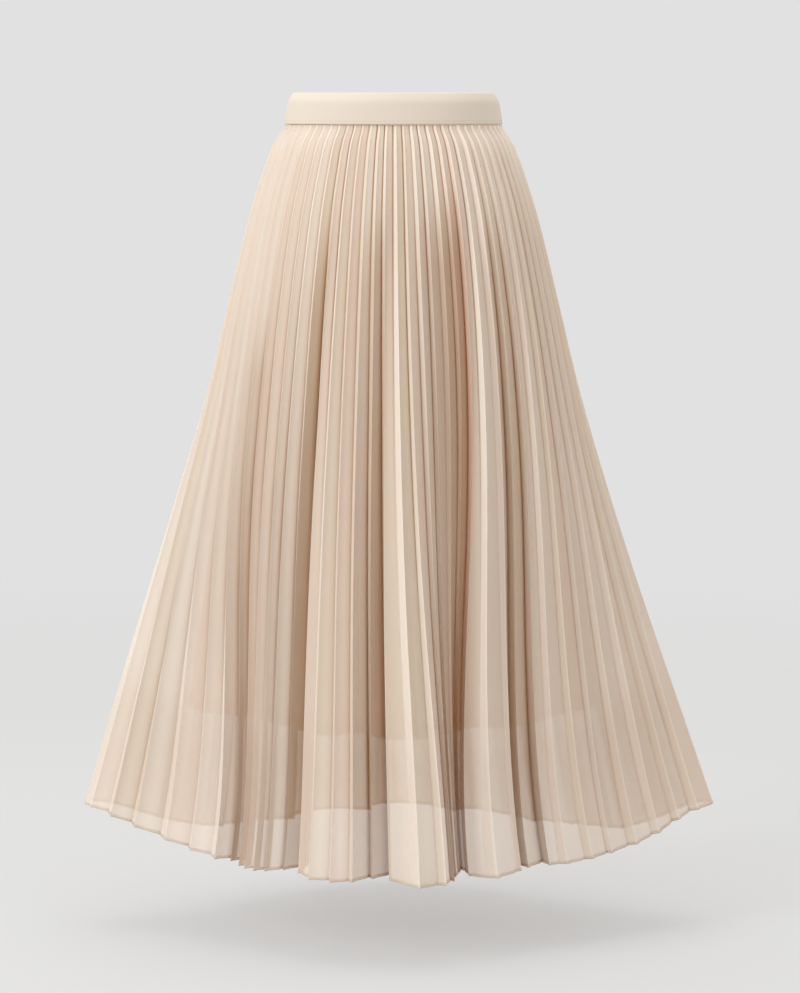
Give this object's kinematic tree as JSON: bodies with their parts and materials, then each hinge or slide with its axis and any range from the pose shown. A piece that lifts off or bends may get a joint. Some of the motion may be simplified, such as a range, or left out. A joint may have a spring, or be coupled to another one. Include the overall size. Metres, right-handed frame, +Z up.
{
  "type": "pleated maxi skirt",
  "caption": "Hollow worn-shape maxi skirt: plain waistband, fine sunray-pleated sheer outer cloth falling in deep flutes, shorter plain lining inside.",
  "frame": {"origin": "centre of the waist opening, halfway up the waistband, where the wearer's waist holds the skirt", "axes": "+Z up, the front of the skirt faces -Y, +X is to the right as seen from the front"},
  "size_m": [0.7902, 0.5544, 0.9301],
  "materials": {
    "waistband": "smooth matt crepe, ivory beige",
    "chiffon": "sheer permanent-pleated chiffon, cream beige",
    "lining": "plain opaque lining, warm beige"
  },
  "bodies": {
    "root": {"waistband_front": "waistband", "waistband_back": "waistband", "pleated_front": "chiffon", "pleated_back": "chiffon", "lining_front": "lining", "lining_back": "lining"}
  },
  "joints": []
}
